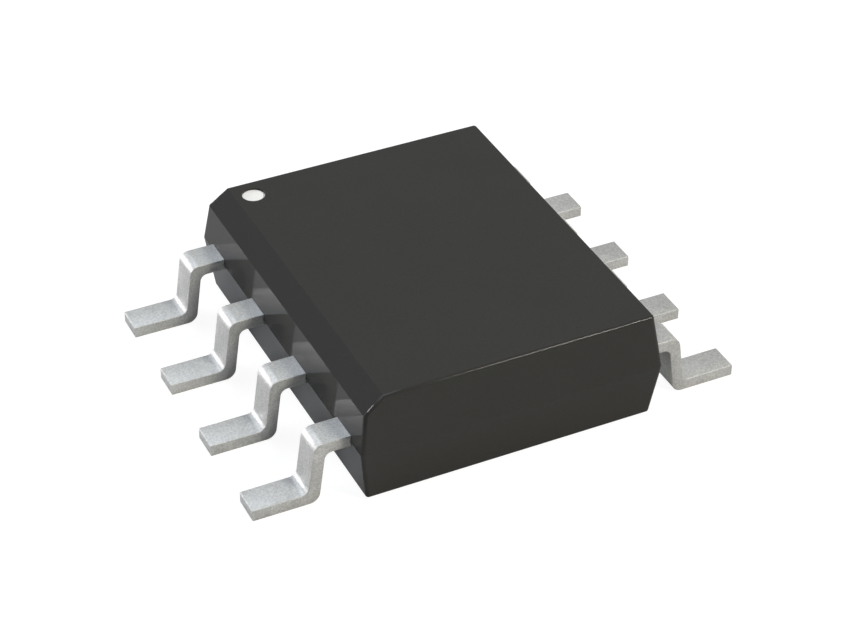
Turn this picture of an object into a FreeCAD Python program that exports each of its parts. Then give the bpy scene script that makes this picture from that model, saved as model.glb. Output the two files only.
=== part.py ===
import FreeCAD, Part
import math
import os

from FreeCAD import Vector

# An eight-lead small-outline chip package, in millimetres, +Z up.
# The origin is the centre of the package on the seating plane, which the feet stand on.
# The rows of leads run along Y. Lead 1 is at -X, +Y, beside the ink dot, and the bevel
# runs along the side of leads 1 to 4. The numbers go round anticlockwise seen from above.

# Outside of the leads
lead_pitch = 1.27
leads_per_row = 4
lead_width = 0.385
sheet_thickness = 0.145
shoulder_length = 0.418
foot_length = 0.688
riser_tilt = 8.0
knee_outer_radius = 0.13
knee_inner_radius = 0.09
heel_inner_radius = 0.095
heel_outer_radius = 0.13

# Moulded body: two drafted halves that meet in the parting plane
body_width = 3.862
end_margin = 0.511
mould_offset = 0.011  # the moulding sits this far from the middle of the lead frame, towards leads 5 to 8
stand_off = 0.032
lower_depth = 0.705
upper_depth = 0.695
lower_draft = 7.3
upper_draft = 8.0
corner_radius = 0.04
edge_radius = 0.02
bevel_width = 0.22
bevel_depth = 0.2

# Ink dot in its recess
dot_diameter = 0.287
dot_from_bevel = 0.238
dot_from_end = 0.29
recess_depth = 0.05
ink_thickness = 0.024

# Fingers of the leads, inside the body
finger_gap = 0.2
finger_head_length = 0.3
finger_head_width = 0.6
corner_head_length = 0.6
corner_tip_gap = 0.32
lock_hole_diameter = 0.2
lock_hole_inset = 0.33

# Paddle and its two tie bars, from the same sheet as the leads
paddle_width = 2.1
paddle_length = 2.4
paddle_downset = 0.17
tie_bar_width = 0.25
tie_bar_run = 0.12
tie_bar_slope = 45.0
tie_bend_radius = 0.06
end_wall = 0.1

# Chip and the adhesive under it
die_width = 1.5
die_length = 1.7
die_thickness = 0.28
adhesive_thickness = 0.025
adhesive_margin = 0.04

# Bond wires, drawn with flats instead of a round section
wire_flats = 6
wire_diameter = 0.025
loop_height = 0.15
loop_radius = 0.05
ball_foot_diameter = 0.06
ball_diameter = 0.075
ball_neck_diameter = 0.04
ball_height = 0.03
stitch_length = 0.07
stitch_width = 0.05
stitch_thickness = 0.012
stitch_inset = 0.15
pad_inset = 0.1
pad_row_offset = 0.4
corner_pad_inset = 0.3

# Places that follow from the sizes above
parting_height = stand_off + lower_depth
body_top = parting_height + upper_depth
outer_row_y = lead_pitch * (leads_per_row - 1) / 2
body_length = 2 * (outer_row_y + end_margin)
body_side = body_width / 2
body_end = body_length / 2
upper_slope = math.tan(math.radians(upper_draft))
lower_slope = math.tan(math.radians(lower_draft))
top_side = body_side - upper_depth * upper_slope
top_end = body_end - upper_depth * upper_slope
sheet_bottom = parting_height - sheet_thickness / 2
sheet_top = parting_height + sheet_thickness / 2
paddle_bottom = sheet_bottom - paddle_downset
paddle_top = sheet_top - paddle_downset
finger_tip = paddle_width / 2 + finger_gap
corner_tip = tie_bar_width / 2 + corner_tip_gap
corner_head_edge = paddle_length / 2 + finger_gap
die_bottom = paddle_top + adhesive_thickness
die_top = die_bottom + die_thickness
dot_x = mould_offset - (top_side - bevel_width - dot_from_bevel)
dot_y = top_end - dot_from_end

UP = Vector(0, 0, 1)
ORIGIN = Vector(0, 0, 0)


def box(low, high):
    """Block between two opposite corners."""
    size = high - low
    return Part.makeBox(size.x, size.y, size.z, low)


def rounded_outline(corners):
    """Closed wire through (point, radius) corners. A radius of zero leaves a sharp corner."""
    starts = []
    ends = []
    arcs = []
    count = len(corners)
    for index, (corner, radius) in enumerate(corners):
        to_last = (corners[index - 1][0] - corner).normalize()
        to_next = (corners[(index + 1) % count][0] - corner).normalize()
        if radius == 0:
            starts.append(corner)
            ends.append(corner)
            arcs.append(None)
            continue
        half_angle = to_last.getAngle(to_next) / 2
        reach = radius / math.tan(half_angle)
        middle = (to_last + to_next).normalize()
        nearest = corner + middle * (radius / math.sin(half_angle) - radius)
        starts.append(corner + to_last * reach)
        ends.append(corner + to_next * reach)
        arcs.append(Part.Arc(starts[-1], nearest, ends[-1]).toShape())
    edges = []
    for index in range(count):
        if arcs[index]:
            edges.append(arcs[index])
        edges.append(Part.makeLine(ends[index], starts[(index + 1) % count]))
    return Part.Wire(edges)


def strip(corners, start_y, end_y):
    """Sheet seen from its edge in the XZ plane, drawn out along Y."""
    outline = [(Vector(x, start_y, z), radius) for x, z, radius in corners]
    return Part.Face(rounded_outline(outline)).extrude(Vector(0, end_y - start_y, 0))


def rounded_rectangle(half_x, half_y, height):
    """Level rectangle with the body's corner radius."""
    corners = [(half_x, half_y), (-half_x, half_y), (-half_x, -half_y), (half_x, -half_y)]
    return rounded_outline([(Vector(x, y, height), corner_radius) for x, y in corners])


def body_half(far_height, slope):
    """One drafted half of the body, from the parting plane to its far face."""
    draw_in = abs(far_height - parting_height) * slope
    near = rounded_rectangle(body_side, body_end, parting_height)
    far = rounded_rectangle(body_side - draw_in, body_end - draw_in, far_height)
    return Part.makeLoft([near, far], True, True)


def bevel_cutter():
    """Prism that takes the bevel off the top along the side of leads 1 to 4."""
    low_x = -(top_side + bevel_depth * upper_slope)
    low_z = body_top - bevel_depth
    inner_x = -(top_side - bevel_width)
    outer_x = low_x - bevel_width
    over_z = body_top + bevel_depth
    corners = [(inner_x, body_top), (inner_x, over_z), (outer_x, over_z), (outer_x, low_z), (low_x, low_z)]
    return strip([(x, z, 0) for x, z in corners], -body_length, body_length)


def round_far_edges(half):
    """Round each edge of a half that lies clear of the parting plane."""
    edges = [edge for edge in half.Edges
             if all(abs(vertex.Z - parting_height) > edge_radius for vertex in edge.Vertexes)]
    return half.makeFillet(edge_radius, edges)


def moulded_block():
    """Outside of the body, with the bevel and the recess for the dot."""
    upper = round_far_edges(body_half(body_top, upper_slope).cut(bevel_cutter()))
    lower = round_far_edges(body_half(stand_off, lower_slope))
    for half in (upper, lower):
        half.translate(Vector(mould_offset, 0, 0))
    recess_floor = Vector(dot_x, dot_y, body_top - recess_depth)
    recess = Part.makeCylinder(dot_diameter / 2, 2 * recess_depth, recess_floor)
    return upper.fuse(lower).removeSplitter().cut(recess)


def pin_one_dot():
    """Disc of ink on the floor of the recess."""
    return Part.makeCylinder(dot_diameter / 2, ink_thickness, Vector(dot_x, dot_y, body_top - recess_depth))


def lead_section(tip):
    """Corners of a lead seen from its edge, from the finger's tip out to the toe."""
    slope = math.tan(math.radians(riser_tilt))
    knee = body_side + shoulder_length
    heel = knee + (sheet_top - sheet_thickness) * slope
    toe = heel + foot_length
    riser_offset = sheet_thickness / math.cos(math.radians(riser_tilt))
    under_knee = knee - riser_offset + sheet_thickness * slope
    under_heel = heel - riser_offset + sheet_thickness * slope
    return [(tip, sheet_top, 0), (knee, sheet_top, knee_outer_radius),
            (heel, sheet_thickness, heel_inner_radius), (toe, sheet_thickness, 0),
            (toe, 0, 0), (under_heel, 0, heel_outer_radius),
            (under_knee, sheet_bottom, knee_inner_radius), (tip, sheet_bottom, 0)]


def is_corner(row_y):
    """Whether a lead is the first or the last of its row."""
    return abs(row_y) > outer_row_y - lead_pitch / 2


def lead(row_y):
    """Lead of the +X row at a place along Y: gull wing outside, finger with its head inside."""
    half_width = lead_width / 2
    if is_corner(row_y):
        tip = corner_tip
        head_length = corner_head_length
        outward = math.copysign(1, row_y)
        head_y = sorted([outward * corner_head_edge, row_y + outward * half_width])
    else:
        tip = finger_tip
        head_length = finger_head_length
        head_y = [row_y - finger_head_width / 2, row_y + finger_head_width / 2]
    blank = strip(lead_section(tip), row_y - half_width, row_y + half_width)
    head = box(Vector(tip, head_y[0], sheet_bottom), Vector(tip + head_length, head_y[1], sheet_top))
    lock_hole = Part.makeCylinder(lock_hole_diameter / 2, sheet_thickness,
                                  Vector(body_side - lock_hole_inset, row_y, sheet_bottom))
    return blank.fuse(head).removeSplitter().cut(lock_hole)


def die_paddle():
    """Downset plate that carries the chip, with a tie bar bent up to the sheet's plane at each end."""
    half_width = paddle_width / 2
    half_length = paddle_length / 2
    plate = box(Vector(-half_width, -half_length, paddle_bottom), Vector(half_width, half_length, paddle_top))
    slope_angle = math.radians(tie_bar_slope)
    rise_start = half_length + tie_bar_run
    rise_end = rise_start + paddle_downset / math.tan(slope_angle)
    shift = sheet_thickness * math.tan(slope_angle / 2)
    tip = body_end - end_wall
    outer_bend = tie_bend_radius + sheet_thickness
    corners = [(0, paddle_top, 0), (rise_start - shift / 2, paddle_top, tie_bend_radius),
               (rise_end - shift / 2, sheet_top, outer_bend), (tip, sheet_top, 0), (tip, sheet_bottom, 0),
               (rise_end + shift / 2, sheet_bottom, tie_bend_radius),
               (rise_start + shift / 2, paddle_bottom, outer_bend), (0, paddle_bottom, 0)]
    tie_bar = strip(corners, -tie_bar_width / 2, tie_bar_width / 2)
    far_bar = tie_bar.rotated(ORIGIN, UP, 90)
    near_bar = tie_bar.rotated(ORIGIN, UP, -90)
    return plate.fuse([far_bar, near_bar]).removeSplitter()


def die_attach():
    """Layer of adhesive that stands out a little all round the chip."""
    half_width = die_width / 2 + adhesive_margin
    half_length = die_length / 2 + adhesive_margin
    return box(Vector(-half_width, -half_length, paddle_top), Vector(half_width, half_length, die_bottom))


def silicon_die():
    """The chip."""
    half_width = die_width / 2
    half_length = die_length / 2
    return box(Vector(-half_width, -half_length, die_bottom), Vector(half_width, half_length, die_top))


def wire_ends(row_y):
    """Pad on the chip and stitch on the finger for the lead of the +X row at a place along Y."""
    outward = math.copysign(1, row_y)
    if is_corner(row_y):
        pad = Vector(die_width / 2 - corner_pad_inset, outward * (die_length / 2 - pad_inset), die_top)
        stitch = Vector(corner_tip + stitch_inset, outward * (corner_head_edge + stitch_inset), sheet_top)
    else:
        pad = Vector(die_width / 2 - pad_inset, outward * pad_row_offset, die_top)
        stitch = Vector(finger_tip + stitch_inset, row_y, sheet_top)
    return pad, stitch


def ring(centre, diameter, forward):
    """Level ring of flats round a point, with one flat square to the wire's run."""
    across = UP.cross(forward)
    half_step = math.pi / wire_flats
    radius = diameter / 2 / math.cos(half_step)
    points = []
    for index in range(wire_flats):
        angle = (2 * index + 1) * half_step
        points.append(centre + forward * (radius * math.cos(angle)) + across * (radius * math.sin(angle)))
    return Part.makePolygon(points + points[:1])


def wire_run(pad, stitch, forward):
    """Wire straight up from the pad, bent over once, and down past the stitch."""
    peak = pad + UP * loop_height
    down = (stitch - peak).normalize()
    half_angle = (-UP).getAngle(down) / 2
    tangent = loop_radius / math.tan(half_angle)
    middle = (down - UP).normalize()
    bend_start = peak - UP * tangent
    bend_middle = peak + middle * (loop_radius / math.sin(half_angle) - loop_radius)
    bend_end = peak + down * tangent
    bend = Part.Arc(bend_start, bend_middle, bend_end).toShape()
    past_stitch = stitch + down * wire_diameter
    path = Part.Wire([Part.makeLine(pad, bend_start), bend, Part.makeLine(bend_end, past_stitch)])
    return path.makePipeShell([ring(pad, wire_diameter, forward)], True, False)


def ball_bond(pad, forward):
    """Squashed ball on the pad, with a neck up to the wire."""
    rings = [ring(pad, ball_foot_diameter, forward),
             ring(pad + UP * (ball_height / 2), ball_diameter, forward),
             ring(pad + UP * ball_height, ball_neck_diameter, forward)]
    return Part.makeLoft(rings, True, True)


def bond_wire(row_y):
    """Ball on the pad, a loop of wire, and a flattened stitch on the finger."""
    pad, stitch = wire_ends(row_y)
    run = Vector(stitch.x - pad.x, stitch.y - pad.y, 0)
    forward = Vector(run).normalize()
    over_finger = Part.makeCylinder(2 * run.Length, 2 * run.Length, stitch)
    loop = wire_run(pad, stitch, forward).common(over_finger)
    corner = Vector(-stitch_length / 2, -stitch_width / 2, 0)
    flat = Part.makeBox(stitch_length, stitch_width, stitch_thickness, corner)
    flat.rotate(ORIGIN, UP, math.degrees(math.atan2(run.y, run.x)))
    flat.translate(stitch)
    return loop.fuse([ball_bond(pad, forward), flat]).removeSplitter()


def numbered(maker, name):
    """One shape for each lead: the first half of the numbers at -X from +Y down, the rest at +X back up."""
    shapes = {}
    for number in range(1, 2 * leads_per_row + 1):
        place = (number - 1) % leads_per_row
        shape = maker(place * lead_pitch - outer_row_y)
        if number <= leads_per_row:
            shape = shape.rotated(ORIGIN, UP, 180)
        shapes[f"{name}_{number}"] = shape
    return shapes


def build():
    """Every piece by its name. The body is moulded round all that it holds."""
    inner = {"die_paddle": die_paddle(), "die_attach": die_attach(), "silicon_die": silicon_die()}
    inner.update(numbered(lead, "lead"))
    inner.update(numbered(bond_wire, "bond_wire"))
    pieces = {"package_body": moulded_block().cut(list(inner.values())), "pin_one_dot": pin_one_dot()}
    pieces.update(inner)
    return pieces


os.makedirs("parts", exist_ok=True)
for node, shape in build().items():
    shape.exportStep(f"parts/{node}.step")
    print(node, len(shape.Solids), shape.isValid(), round(shape.Volume, 5))
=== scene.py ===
import math

import bmesh
import bpy
from mathutils import Matrix, Vector


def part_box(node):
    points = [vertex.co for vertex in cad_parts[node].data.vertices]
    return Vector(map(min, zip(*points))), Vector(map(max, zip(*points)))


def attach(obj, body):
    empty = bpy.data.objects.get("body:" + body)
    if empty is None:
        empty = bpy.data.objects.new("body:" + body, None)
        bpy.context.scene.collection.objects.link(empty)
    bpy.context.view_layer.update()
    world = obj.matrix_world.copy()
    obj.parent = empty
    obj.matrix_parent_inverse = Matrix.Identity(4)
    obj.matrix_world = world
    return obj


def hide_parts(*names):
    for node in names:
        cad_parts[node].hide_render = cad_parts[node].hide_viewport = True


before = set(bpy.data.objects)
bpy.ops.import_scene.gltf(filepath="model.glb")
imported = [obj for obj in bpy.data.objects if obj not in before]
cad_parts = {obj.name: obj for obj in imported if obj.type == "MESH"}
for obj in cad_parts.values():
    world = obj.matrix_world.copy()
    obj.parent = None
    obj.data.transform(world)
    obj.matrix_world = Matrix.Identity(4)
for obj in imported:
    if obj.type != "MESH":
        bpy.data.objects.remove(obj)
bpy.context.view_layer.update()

mm = 0.001

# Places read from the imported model
bodyLow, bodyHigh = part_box("package_body")
cornerLow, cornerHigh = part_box("lead_5")  # a corner lead of the +X row
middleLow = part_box("lead_6")[0]  # a middle lead of the same row
dotLow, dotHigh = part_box("pin_one_dot")
leadCount = 8
perRow = leadCount // 2
samePlace = 1e-7  # places nearer than this are one
cutLimit = 1e-9
print("packed model loaded")


def addObject(name, data):
    obj = bpy.data.objects.new(name, data)
    bpy.context.scene.collection.objects.link(obj)
    return obj


def heading(azimuth, elevation):  # degrees, counted from +X towards +Y
    turn, rise = math.radians(azimuth), math.radians(elevation)
    return Vector((math.cos(turn) * math.cos(rise), math.sin(turn) * math.cos(rise), math.sin(rise)))


def everything(bm):
    return bm.verts[:] + bm.edges[:] + bm.faces[:]


# A Math node fed by sockets or plain numbers
def mathNode(tree, operation, *values):
    node = tree.nodes.new("ShaderNodeMath")
    node.operation = operation
    for socket, value in zip(node.inputs, values):
        if isinstance(value, float):
            socket.default_value = value
        else:
            tree.links.new(value, socket)
    return node.outputs[0]


# Camera
cameraValues = {
    "azimuth": -115.675,
    "elevation": 36.449,
    "roll": 0.0875,
    "distance": 29.7576 * mm,
    "right": 0.0324 * mm,  # the camera's own shift to its right and up
    "up": 0.3382 * mm,
    "focalPixels": 2419.54,
    "imageWidth": 853,
    "sensor": 36.0,
    "near": 1 * mm,
    "far": 2000 * mm,
}


def makeCamera():
    back = heading(cameraValues["azimuth"], cameraValues["elevation"])
    right = (-back).cross(Vector((0, 0, 1))).normalized()
    up = right.cross(-back)
    roll = math.radians(cameraValues["roll"])
    turnedRight = right * math.cos(roll) + up * math.sin(roll)
    turnedUp = up * math.cos(roll) - right * math.sin(roll)
    data = bpy.data.cameras.new("camera")
    data.sensor_width = cameraValues["sensor"]
    data.lens = cameraValues["sensor"] * cameraValues["focalPixels"] / cameraValues["imageWidth"]
    data.clip_start = cameraValues["near"]
    data.clip_end = cameraValues["far"]
    camera = addObject("camera", data)
    place = back * cameraValues["distance"]
    place += turnedRight * cameraValues["right"] + turnedUp * cameraValues["up"]
    turn = Matrix((turnedRight, turnedUp, back)).transposed().to_4x4()
    camera.matrix_world = Matrix.Translation(place) @ turn
    bpy.context.scene.camera = camera


# Lamps: direction and half size in degrees, and the lamp's share of a facing white surface's brightness
lampDistance = 160 * mm
lamps = {
    "kneeLowLamp": {"azimuth": 129, "elevation": 12, "half": 10, "share": 0.56,
                    "colour": (1.0, 0.98, 1.01)},
    "backHighLamp": {"azimuth": 110, "elevation": 60, "half": 20, "share": 0.37,
                     "colour": (0.91, 0.99, 1.1)},
    "keyLamp": {"azimuth": -57, "elevation": 45, "half": 6, "share": 0.56,
                "colour": (1.06, 1.01, 0.91)},
    "rightLamp": {"azimuth": 0, "elevation": 45, "half": 15, "share": 0.2,
                  "colour": (1.04, 1.01, 0.95)},
}


def makeLamps():
    for name, lamp in lamps.items():
        direction = heading(lamp["azimuth"], lamp["elevation"])
        data = bpy.data.lights.new(name, "AREA")
        data.shape = "DISK"
        data.size = 2 * lampDistance * math.tan(math.radians(lamp["half"]))
        data.energy = lamp["share"] * math.pi ** 2 * lampDistance ** 2
        data.color = lamp["colour"]
        obj = addObject(name, data)
        obj.location = direction * lampDistance
        obj.rotation_mode = "QUATERNION"
        obj.rotation_quaternion = direction.to_track_quat("Z", "Y")


# Floor and world
stageValues = {
    "floorSize": 900 * mm,
    "floorColour": (0.78, 0.78, 0.78, 1.0),
    "floorRoughness": 0.9,
    "floorWhite": 1.2,  # brightness that is mixed into the floor's lit colour
    "cameraShare": 0.78,  # how much of it the camera and the reflections see
    "reflectedShare": 0.1,
    "worldLight": 0.0,  # what the world lends to matt surfaces
    "worldBack": 0.32,  # what glossy surfaces see of it towards +Y and towards -Y
    "worldFront": 0.0,
    "fadeFrom": -0.2,  # Y of the direction where the front's brightness ends, and where the back's begins
    "fadeTo": 0.7,
    "worldColour": (0.99, 1.0, 1.0, 1.0),
}


def reflectedRays(tree, path):
    return mathNode(tree, "MAXIMUM", path.outputs["Is Glossy Ray"], path.outputs["Is Transmission Ray"])


def mixValues(tree, share, first, second):
    mix = tree.nodes.new("ShaderNodeMix")
    for socket, value in zip(mix.inputs[0:1] + mix.inputs[2:4], (share, first, second)):
        if isinstance(value, float):
            socket.default_value = value
        else:
            tree.links.new(value, socket)
    return mix.outputs[0]


def makeWorld():
    world = bpy.data.worlds.new("studio")
    bpy.context.scene.world = world
    world.use_nodes = True
    tree = world.node_tree
    background = tree.nodes["Background"]
    background.inputs["Color"].default_value = stageValues["worldColour"]
    path = tree.nodes.new("ShaderNodeLightPath")
    place = tree.nodes.new("ShaderNodeTexCoord")
    parts = tree.nodes.new("ShaderNodeSeparateXYZ")
    tree.links.new(place.outputs["Generated"], parts.inputs[0])
    fade = tree.nodes.new("ShaderNodeMapRange")  # the studio is brighter behind the object
    for name, key in (("From Min", "fadeFrom"), ("From Max", "fadeTo"), ("To Min", "worldFront"),
                      ("To Max", "worldBack")):
        fade.inputs[name].default_value = stageValues[key]
    tree.links.new(parts.outputs["Y"], fade.inputs["Value"])
    reflected = mixValues(tree, reflectedRays(tree, path), stageValues["worldLight"], fade.outputs["Result"])
    strength = mixValues(tree, path.outputs["Is Camera Ray"], reflected, 1.0)
    tree.links.new(strength, background.inputs["Strength"])


def makeFloor():
    bm = bmesh.new()
    bmesh.ops.create_grid(bm, x_segments=1, y_segments=1, size=stageValues["floorSize"] / 2)
    mesh = bpy.data.meshes.new("floor")
    bm.to_mesh(mesh)
    bm.free()
    material = bpy.data.materials.new("paleFloor")
    material.use_nodes = True
    tree = material.node_tree
    shader = tree.nodes["Principled BSDF"]
    shader.inputs["Base Color"].default_value = stageValues["floorColour"]
    shader.inputs["Roughness"].default_value = stageValues["floorRoughness"]
    shader.inputs["Specular IOR Level"].default_value = 0.0
    glow = tree.nodes.new("ShaderNodeEmission")
    glow.inputs["Strength"].default_value = stageValues["floorWhite"]
    path = tree.nodes.new("ShaderNodeLightPath")
    toCamera = mathNode(tree, "MULTIPLY", path.outputs["Is Camera Ray"], stageValues["cameraShare"])
    toPieces = mathNode(tree, "MULTIPLY", reflectedRays(tree, path), stageValues["reflectedShare"])
    mix = tree.nodes.new("ShaderNodeMixShader")
    tree.links.new(mathNode(tree, "MAXIMUM", toCamera, toPieces), mix.inputs[0])
    tree.links.new(shader.outputs[0], mix.inputs[1])
    tree.links.new(glow.outputs[0], mix.inputs[2])
    tree.links.new(mix.outputs[0], tree.nodes["Material Output"].inputs["Surface"])
    mesh.materials.append(material)
    addObject("floor", mesh)


# Surfaces: sizes in mm, contrasts as shares of the colour
surfaces = {
    "mouldCompound": {"colour": (0.0485, 0.0483, 0.0466), "grain": 0.02, "cloud": 0.9,
                      "grainContrast": 0.25, "cloudContrast": 0.1, "streaks": 0.0,
                      "roughness": 0.05, "spread": 0.015, "metal": 0.0, "specular": 0.115, "bump": 0.01},
    "tinPlate": {"colour": (0.605, 0.61, 0.598), "grain": 0.022, "cloud": 0.25,
                 "grainContrast": 0.9, "cloudContrast": 0.15, "streaks": 0.5,
                 "roughness": 0.49, "spread": 0.15, "metal": 0.5, "specular": 0.5, "bump": 0.25},
    "bareCopper": {"colour": (0.75, 0.42, 0.28), "grain": 0.03, "cloud": 0.4,
                   "grainContrast": 0.2, "cloudContrast": 0.2, "streaks": 0.3,
                   "roughness": 0.35, "spread": 0.15, "metal": 1.0, "specular": 0.5, "bump": 0.2},
    "dieAdhesive": {"colour": (0.42, 0.42, 0.44), "grain": 0.02, "cloud": 0.3,
                    "grainContrast": 0.4, "cloudContrast": 0.2, "streaks": 0.0,
                    "roughness": 0.55, "spread": 0.2, "metal": 0.0, "specular": 0.5, "bump": 0.3},
    "silicon": {"colour": (0.12, 0.125, 0.15), "grain": 0.05, "cloud": 0.5,
                "grainContrast": 0.1, "cloudContrast": 0.3, "streaks": 0.0,
                "roughness": 0.12, "spread": 0.04, "metal": 0.6, "specular": 0.6, "bump": 0.02},
    "goldWire": {"colour": (0.83, 0.6, 0.24), "grain": 0.01, "cloud": 0.1,
                 "grainContrast": 0.15, "cloudContrast": 0.1, "streaks": 0.0,
                 "roughness": 0.22, "spread": 0.1, "metal": 1.0, "specular": 0.5, "bump": 0.1},
    "whiteInk": {"colour": (0.99, 0.99, 0.97), "grain": 0.02, "cloud": 0.12,
                 "grainContrast": 0.06, "cloudContrast": 0.05, "streaks": 0.0,
                 "roughness": 0.6, "spread": 0.1, "metal": 0.0, "specular": 0.3, "bump": 0.15},
}
streakWidth = 0.014
streakSqueeze = 0.04  # along X and Z, which draws the noise out into lines
grainDetail = 3.0
slowDetail = 2.0
bumpDepth = 0.2  # share of the grain's size


def newGroup(name, given, result):
    group = bpy.data.node_groups.new(name, "ShaderNodeTree")
    for direction, sockets in (("INPUT", given), ("OUTPUT", result)):
        for socketName, kind in sockets:
            group.interface.new_socket(name=socketName, in_out=direction, socket_type=f"NodeSocket{kind}")
    return group, group.nodes.new("NodeGroupInput"), group.nodes.new("NodeGroupOutput")


def noiseAround(group, vector, size, detail):  # noise about zero, its size in mm
    noise = group.nodes.new("ShaderNodeTexNoise")
    noise.inputs["Detail"].default_value = detail
    group.links.new(vector, noise.inputs["Vector"])
    group.links.new(mathNode(group, "DIVIDE", 1 / mm, size), noise.inputs["Scale"])
    return mathNode(group, "SUBTRACT", noise.outputs["Fac"], 0.5)


# Fine grain with slow clouds over it, for every surface
def grainGroup():
    group, given, result = newGroup(
        "fineGrain",
        (("Colour", "Color"), ("Grain Size", "Float"), ("Cloud Size", "Float"), ("Grain Contrast", "Float"),
         ("Cloud Contrast", "Float"), ("Roughness", "Float"), ("Roughness Spread", "Float")),
        (("Colour", "Color"), ("Roughness", "Float"), ("Height", "Float")))
    place = group.nodes.new("ShaderNodeTexCoord").outputs["Object"]
    grain = noiseAround(group, place, given.outputs["Grain Size"], grainDetail)
    cloud = noiseAround(group, place, given.outputs["Cloud Size"], slowDetail)
    grainShade = mathNode(group, "MULTIPLY", grain, given.outputs["Grain Contrast"])
    cloudShade = mathNode(group, "MULTIPLY", cloud, given.outputs["Cloud Contrast"])
    gain = mathNode(group, "ADD", mathNode(group, "ADD", grainShade, cloudShade), 1.0)
    tint = group.nodes.new("ShaderNodeVectorMath")
    tint.operation = "SCALE"
    group.links.new(given.outputs["Colour"], tint.inputs[0])
    group.links.new(gain, tint.inputs["Scale"])
    group.links.new(tint.outputs[0], result.inputs["Colour"])
    unevenness = mathNode(group, "ADD", grain, cloud)
    spread = mathNode(group, "MULTIPLY", unevenness, given.outputs["Roughness Spread"])
    group.links.new(mathNode(group, "ADD", spread, given.outputs["Roughness"]), result.inputs["Roughness"])
    group.links.new(grain, result.inputs["Height"])
    return group


# Fine lines drawn along the metal strip, seen where it bends and rises
def streakGroup():
    group, given, result = newGroup("drawnStreaks", (("Line Width", "Float"), ("Contrast", "Float")),
                                    (("Gain", "Float"),))
    place = group.nodes.new("ShaderNodeTexCoord")
    squeeze = group.nodes.new("ShaderNodeVectorMath")
    squeeze.operation = "MULTIPLY"
    squeeze.inputs[1].default_value = (streakSqueeze, 1.0, streakSqueeze)
    group.links.new(place.outputs["Object"], squeeze.inputs[0])
    lines = noiseAround(group, squeeze.outputs[0], given.outputs["Line Width"], slowDetail)
    parts = group.nodes.new("ShaderNodeSeparateXYZ")
    group.links.new(place.outputs["Normal"], parts.inputs[0])
    level = mathNode(group, "ABSOLUTE", parts.outputs["Z"])
    steep = mathNode(group, "SUBTRACT", 1.0, level)  # 0 on a level face and 1 on an upright one
    shade = mathNode(group, "MULTIPLY", mathNode(group, "MULTIPLY", lines, steep), given.outputs["Contrast"])
    group.links.new(mathNode(group, "ADD", shade, 1.0), result.inputs["Gain"])
    return group


def makeMaterial(name, grainNodes, streakNodes):
    look = surfaces[name]
    material = bpy.data.materials.new(name)
    material.use_nodes = True
    tree = material.node_tree
    shader = tree.nodes["Principled BSDF"]
    shader.inputs["Metallic"].default_value = look["metal"]
    shader.inputs["Specular IOR Level"].default_value = look["specular"]
    grain = tree.nodes.new("ShaderNodeGroup")
    grain.node_tree = grainNodes
    grain.inputs["Colour"].default_value = (*look["colour"], 1.0)
    for socket, key in (("Grain Size", "grain"), ("Cloud Size", "cloud"),
                        ("Grain Contrast", "grainContrast"), ("Cloud Contrast", "cloudContrast"),
                        ("Roughness", "roughness"), ("Roughness Spread", "spread")):
        grain.inputs[socket].default_value = look[key]
    colour = grain.outputs["Colour"]
    if look["streaks"] > 0:
        streaks = tree.nodes.new("ShaderNodeGroup")
        streaks.node_tree = streakNodes
        streaks.inputs["Line Width"].default_value = streakWidth
        streaks.inputs["Contrast"].default_value = look["streaks"]
        scaled = tree.nodes.new("ShaderNodeVectorMath")
        scaled.operation = "SCALE"
        tree.links.new(colour, scaled.inputs[0])
        tree.links.new(streaks.outputs["Gain"], scaled.inputs["Scale"])
        colour = scaled.outputs[0]
    bump = tree.nodes.new("ShaderNodeBump")
    bump.inputs["Strength"].default_value = look["bump"]
    bump.inputs["Distance"].default_value = look["grain"] * mm * bumpDepth
    tree.links.new(colour, shader.inputs["Base Color"])
    tree.links.new(grain.outputs["Roughness"], shader.inputs["Roughness"])
    tree.links.new(grain.outputs["Height"], bump.inputs["Height"])
    tree.links.new(bump.outputs[0], shader.inputs["Normal"])
    return material


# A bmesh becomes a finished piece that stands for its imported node; faces over flatArea stay flat
def makePiece(name, bm, material, replaced, flatArea=1.0):
    for face in bm.faces:
        face.smooth = face.calc_area() < flatArea
    mesh = bpy.data.meshes.new(name)
    bm.to_mesh(mesh)
    bm.free()
    mesh.materials.append(material)
    obj = addObject(name, mesh)
    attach(obj, "root")
    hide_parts(replaced)
    return obj


# Large faces lead the shading, so that they stay flat beside narrow rounds
def keepFlat(piece, weight):
    normals = piece.modifiers.new("keepFlat", "WEIGHTED_NORMAL")
    normals.mode = "FACE_AREA"
    normals.weight = weight
    normals.keep_sharp = True


# An upright round hole is taken out of a closed bmesh with the exact boolean
def cutRound(bm, centre, radius, depth, sides):
    cutter = bmesh.new()
    bmesh.ops.create_cone(cutter, cap_ends=True, segments=sides, radius1=radius, radius2=radius, depth=depth)
    bmesh.ops.translate(cutter, vec=centre, verts=cutter.verts)
    pair = []
    for name, source in (("cutBlank", bm), ("cutTool", cutter)):
        mesh = bpy.data.meshes.new(name)
        source.to_mesh(mesh)
        source.free()
        pair.append(addObject(name, mesh))
    modifier = pair[0].modifiers.new("cut", "BOOLEAN")
    modifier.operation = "DIFFERENCE"
    modifier.solver = "EXACT"
    modifier.object = pair[1]
    graph = bpy.context.evaluated_depsgraph_get()
    cutMesh = bpy.data.meshes.new_from_object(pair[0].evaluated_get(graph))
    result = bmesh.new()
    result.from_mesh(cutMesh)
    bpy.data.meshes.remove(cutMesh)
    for obj in pair:
        mesh = obj.data
        bpy.data.objects.remove(obj)
        bpy.data.meshes.remove(mesh)
    bmesh.ops.recalc_face_normals(result, faces=result.faces)
    return result


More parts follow.
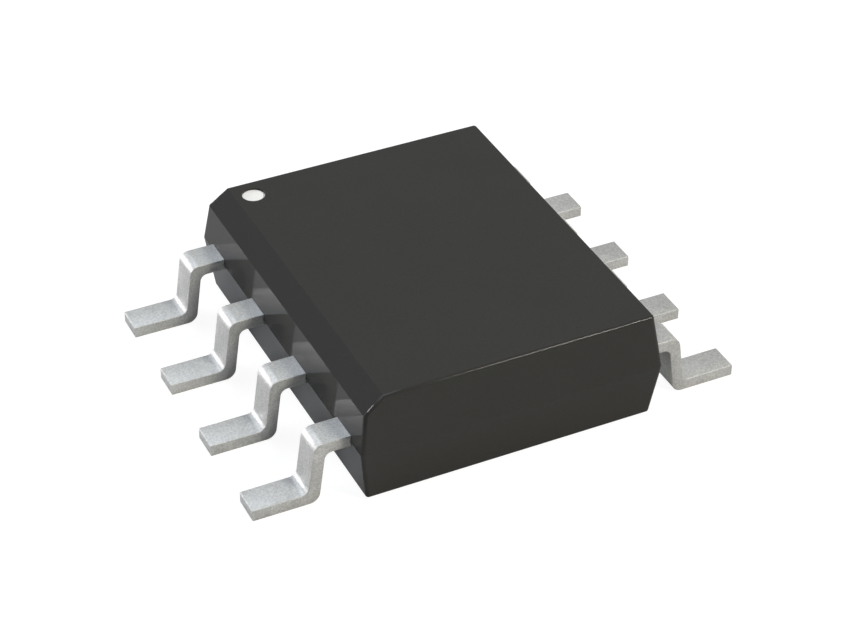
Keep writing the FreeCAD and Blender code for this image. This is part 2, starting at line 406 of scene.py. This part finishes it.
# Package body
body = {
    "upperDraft": 8.0,  # degrees
    "lowerDraft": 7.3,
    "bevelWidth": 0.22 * mm,
    "bevelDepth": 0.2 * mm,
    "cornerRound": 0.05 * mm,  # the four upright corners
    "edgeShare": 0.6,  # the other rounds as shares of that
    "rimShare": 0.08,
    "roundSegments": 5,
    "recessDepth": 0.05 * mm,
    "recessSides": 64,
    "recessReach": 1.01,  # edges within this many radii belong to the recess
    "rimTurn": 1.0,  # least angle between the faces at the recess's rim, in radians
    "flatTurn": 0.5,  # greatest angle between the faces at the parting line
    "slopeLeast": 0.3,  # x times z of a normal, reached only by the long bevel
    "longFrom": 1 * mm,  # rounded edges from this length on get a point near each end
    "pointInset": 0.3 * mm,
}


# Points near both ends of a long edge keep the shading of its round even between them
def splitEnds(edge):
    first, last = edge.verts
    added = bmesh.utils.edge_split(edge, first, body["pointInset"] / edge.calc_length())[0]
    longer = max(edge, added, key=lambda part: part.calc_length())
    bmesh.utils.edge_split(longer, last, body["pointInset"] / longer.calc_length())


def makeBody(material):
    partingZ = cornerHigh.z - lead["thickness"] / 2
    bm = bmesh.new()
    bmesh.ops.create_cube(bm, size=1.0)
    bmesh.ops.scale(bm, vec=bodyHigh - bodyLow, verts=bm.verts)
    bmesh.ops.translate(bm, vec=(bodyLow + bodyHigh) / 2, verts=bm.verts)
    bmesh.ops.bisect_plane(bm, geom=everything(bm), dist=cutLimit,
                           plane_co=(0, 0, partingZ), plane_no=(0, 0, 1))
    middleX = (bodyLow.x + bodyHigh.x) / 2
    for vertex in bm.verts:  # both halves are drawn in by their draft
        rise = vertex.co.z - partingZ
        draft = body["upperDraft"] if rise > 0 else body["lowerDraft"]
        drawIn = abs(rise) * math.tan(math.radians(draft))
        vertex.co.x -= math.copysign(drawIn, vertex.co.x - middleX)
        vertex.co.y -= math.copysign(drawIn, vertex.co.y)
    slope = math.tan(math.radians(body["upperDraft"]))
    topSide = bodyLow.x + (bodyHigh.z - partingZ) * slope
    innerX = topSide + body["bevelWidth"]
    lowerX = topSide - body["bevelDepth"] * slope
    bevelNormal = Vector((-body["bevelDepth"], 0, innerX - lowerX))
    cut = bmesh.ops.bisect_plane(bm, geom=everything(bm), dist=cutLimit, plane_co=(innerX, 0, bodyHigh.z),
                                 plane_no=bevelNormal, clear_outer=True)
    rim = [item for item in cut["geom_cut"] if isinstance(item, bmesh.types.BMEdge)]
    bmesh.ops.contextual_create(bm, geom=rim)
    centre = (dotLow + dotHigh) / 2
    radius = (dotHigh.x - dotLow.x) / 2
    recess = Vector((centre.x, centre.y, bodyHigh.z))
    bm = cutRound(bm, recess, radius, 2 * body["recessDepth"], body["recessSides"])
    weights = bm.edges.layers.float.new("bevel_weight_edge")
    for edge in bm.edges:
        edge[weights] = edgeWeight(edge, partingZ, centre, radius)
        if edge[weights] == 0:
            edge.smooth = False
    for edge in [edge for edge in bm.edges if edge[weights] > 0 and edge.calc_length() > body["longFrom"]]:
        splitEnds(edge)
    piece = makePiece("moulded_body", bm, material, "package_body")
    rounds = piece.modifiers.new("edgeRounds", "BEVEL")
    rounds.limit_method = "WEIGHT"
    rounds.width = body["cornerRound"]
    rounds.segments = body["roundSegments"]
    rounds.harden_normals = True
    rounds.use_clamp_overlap = False  # the points near the ends don't narrow the rounds


# How far an edge of the body is rounded, as a share of the upright corners' round
def edgeWeight(edge, partingZ, centre, radius):
    angle = edge.calc_face_angle()
    lengthwise = abs(edge.verts[0].co.y - edge.verts[1].co.y) > body["longFrom"]
    if any((vertex.co.xy - centre.xy).length < body["recessReach"] * radius for vertex in edge.verts):
        onRim = all(abs(vertex.co.z - bodyHigh.z) < samePlace for vertex in edge.verts)
        return body["rimShare"] if onRim and angle > body["rimTurn"] else 0.0
    sloping = any(abs(face.normal.x * face.normal.z) > body["slopeLeast"] for face in edge.link_faces)
    # The parting line and the long bevel's edges stay crisp
    if angle < body["flatTurn"] or (lengthwise and sloping):
        return 0.0
    if any(abs(vertex.co.z - partingZ) < samePlace for vertex in edge.verts):
        return 1.0
    return body["edgeShare"]


# Leads
lead = {
    "pitch": 1.27 * mm,
    "width": 0.385 * mm,
    "thickness": 0.145 * mm,
    "riserTilt": 8.0,  # degrees
    "foot": 0.688 * mm,  # from the corner of the heel to the toe
    "kneeOuter": 0.13 * mm,
    "kneeInner": 0.09 * mm,
    "heelInner": 0.095 * mm,
    "heelOuter": 0.13 * mm,
    "bendSegments": 14,
    "edgeRound": 0.009 * mm,
    "edgeSegments": 3,
    "roundsFrom": 0.18 * mm,  # the rounded edges start this far inside the body
    "headLength": 0.3 * mm,  # widened end of a middle finger
    "headWidth": 0.6 * mm,
    "cornerHeadLength": 0.6 * mm,
    "cornerHeadFrom": 1.4 * mm,  # its inner side, from the middle of the body
    "holeRadius": 0.1 * mm,
    "holeInset": 0.33 * mm,
    "holeSides": 40,
    "facing": 0.9,  # a face whose normal points this much sideways is a side of the strip
    "normalWeight": 100,  # the largest face counts alone
}


# The strip seen from its edge, as one face in the XZ plane with its four bends rounded
def leadOutline(bm, tip):
    top = cornerHigh.z
    toe = cornerHigh.x
    thickness = lead["thickness"]
    slope = math.tan(math.radians(lead["riserTilt"]))
    heel = toe - lead["foot"]
    knee = heel - slope * (top - thickness)
    across = thickness * math.sqrt(1 + slope * slope) - thickness * slope
    points = [(tip, top), (knee, top), (heel, thickness), (toe, thickness), (toe, 0), (heel - across, 0),
              (knee - across, top - thickness), (tip, top - thickness)]
    corners = [bm.verts.new((x, 0, z)) for x, z in points]
    bm.faces.new(corners)
    halfTurn = (math.pi / 2 - math.atan(slope)) / 2
    for index, radius in ((1, "kneeOuter"), (2, "heelInner"), (5, "heelOuter"), (6, "kneeInner")):
        bmesh.ops.bevel(bm, geom=[corners[index]], offset=lead[radius] * math.tan(halfTurn),
                        offset_type="OFFSET", segments=lead["bendSegments"], profile=0.5,
                        affect="VERTICES", material=-1)


def cutAcross(bm, x):
    bmesh.ops.bisect_plane(bm, geom=everything(bm), dist=cutLimit, plane_co=(x, 0, 0), plane_no=(1, 0, 0))


def drawOut(bm, faces, distance):
    drawn = bmesh.ops.extrude_face_region(bm, geom=faces)
    moved = [item for item in drawn["geom"] if isinstance(item, bmesh.types.BMVert)]
    bmesh.ops.translate(bm, vec=(0, distance, 0), verts=moved)


# One side of the finger's end is pulled out to make the head that holds it in the moulding
def widenHead(bm, headEnd, side, distance):
    faces = [face for face in bm.faces
             if face.normal.y * side > lead["facing"] and face.calc_center_median().x < headEnd]
    drawOut(bm, faces, side * distance)
    inner = [face for face in faces if face.is_valid]
    bmesh.ops.delete(bm, geom=inner, context="FACES_ONLY")


# The long edges and the toe's upright ones, from just inside the body outwards
def roundEdges(bm, insideX):
    outline = []
    for edge in bm.edges:
        first, second = (vertex.co for vertex in edge.verts)
        outside = min(first.x, second.x) > insideX - samePlace
        atCut = max(first.x, second.x) < insideX + samePlace
        atToe = min(first.x, second.x) > cornerHigh.x - samePlace
        if outside and not atCut and (atToe or abs(first.y - second.y) < samePlace):
            outline.append(edge)
    bmesh.ops.bevel(bm, geom=outline, offset=lead["edgeRound"], offset_type="OFFSET",
                    segments=lead["edgeSegments"], profile=0.5, affect="EDGES", material=-1)


def makeLead(number, material):
    place = (number - 1) % perRow
    rowY = (place - (perRow - 1) / 2) * lead["pitch"]  # the turned row runs the other way along Y
    isCorner = place in (0, perRow - 1)
    halfWidth = lead["width"] / 2
    bodySide = (bodyHigh.x - bodyLow.x) / 2
    tip = (cornerLow if isCorner else middleLow).x
    bm = bmesh.new()
    leadOutline(bm, tip)
    bmesh.ops.translate(bm, vec=(0, rowY - halfWidth, 0), verts=bm.verts)
    drawOut(bm, bm.faces[:], lead["width"])
    bmesh.ops.recalc_face_normals(bm, faces=bm.faces)
    insideX = bodySide - lead["roundsFrom"]
    cutAcross(bm, insideX)
    roundEdges(bm, insideX)
    headEnd = tip + (lead["cornerHeadLength"] if isCorner else lead["headLength"])
    cutAcross(bm, headEnd)
    bm.normal_update()
    if isCorner:  # a corner finger widens only towards the middle of its row
        widenHead(bm, headEnd, -math.copysign(1.0, rowY), abs(rowY) - halfWidth - lead["cornerHeadFrom"])
    else:
        for side in (-1.0, 1.0):
            widenHead(bm, headEnd, side, lead["headWidth"] / 2 - halfWidth)
    hole = Vector((bodySide - lead["holeInset"], rowY, cornerHigh.z - lead["thickness"] / 2))
    bm = cutRound(bm, hole, lead["holeRadius"], 2 * lead["thickness"], lead["holeSides"])
    if number <= perRow:
        bmesh.ops.rotate(bm, cent=(0, 0, 0), matrix=Matrix.Rotation(math.pi, 3, "Z"), verts=bm.verts)
    piece = makePiece(f"formed_lead_{number}", bm, material, f"lead_{number}")
    keepFlat(piece, lead["normalWeight"])


# Ink dot
dot = {
    "sides": 64,
    "flatArea": 0.01 * mm * mm,
}


def makeDot(material):
    radius = (dotHigh.x - dotLow.x) / 2
    bm = bmesh.new()
    bmesh.ops.create_cone(bm, cap_ends=True, segments=dot["sides"], radius1=radius, radius2=radius,
                          depth=dotHigh.z - dotLow.z)
    bmesh.ops.translate(bm, vec=(dotLow + dotHigh) / 2, verts=bm.verts)
    makePiece("ink_dot", bm, material, "pin_one_dot", flatArea=dot["flatArea"])


def paint(node, material):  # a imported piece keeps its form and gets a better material
    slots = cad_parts[node].data.materials
    slots.clear()
    slots.append(material)


makeCamera()
makeLamps()
makeWorld()
makeFloor()
bpy.context.scene.view_settings.view_transform = "Standard"
print("camera, lamps and floor ready")

grainNodes = grainGroup()
streakNodes = streakGroup()
materials = {name: makeMaterial(name, grainNodes, streakNodes) for name in surfaces}
print("materials ready")

makeBody(materials["mouldCompound"])
print("body ready")
for number in range(1, leadCount + 1):
    makeLead(number, materials["tinPlate"])
print("leads ready")
makeDot(materials["whiteInk"])
for node, name in (("die_paddle", "bareCopper"), ("die_attach", "dieAdhesive"), ("silicon_die", "silicon")):
    paint(node, materials[name])
for number in range(1, leadCount + 1):
    paint(f"bond_wire_{number}", materials["goldWire"])
print("dot and inner pieces ready")
